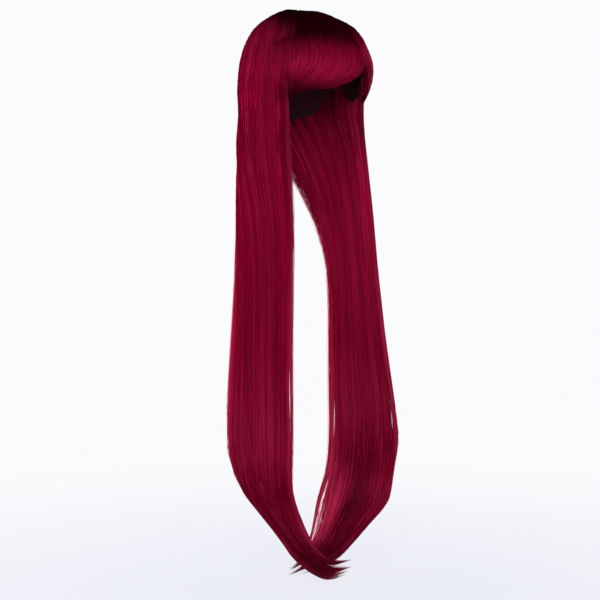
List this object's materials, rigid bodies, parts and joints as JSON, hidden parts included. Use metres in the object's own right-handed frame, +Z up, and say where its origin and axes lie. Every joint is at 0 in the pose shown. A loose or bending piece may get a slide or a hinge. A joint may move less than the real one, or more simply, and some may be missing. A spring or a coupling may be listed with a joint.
{
  "type": "wig",
  "caption": "Very long straight burgundy wig: stretch cap, swept fringe, short temple lock and long hanks that sweep together and cross at the tips.",
  "frame": {"origin": "the point inside the top of the cap where the crown of the wearer's head bears", "axes": "+Z up along the wearer's head, the face looks along -Y, the wearer's left is +X"},
  "size_m": [0.2469, 0.2344, 0.8775],
  "materials": {
    "hair": "glossy straight synthetic fibre",
    "cap": "matt stretch cloth"
  },
  "bodies": {
    "root": {"cap": "cap", "crown_hair": "hair", "hank_right": "hair", "hank_left": "hair", "fringe": "hair", "temple_lock": "hair"}
  },
  "joints": []
}
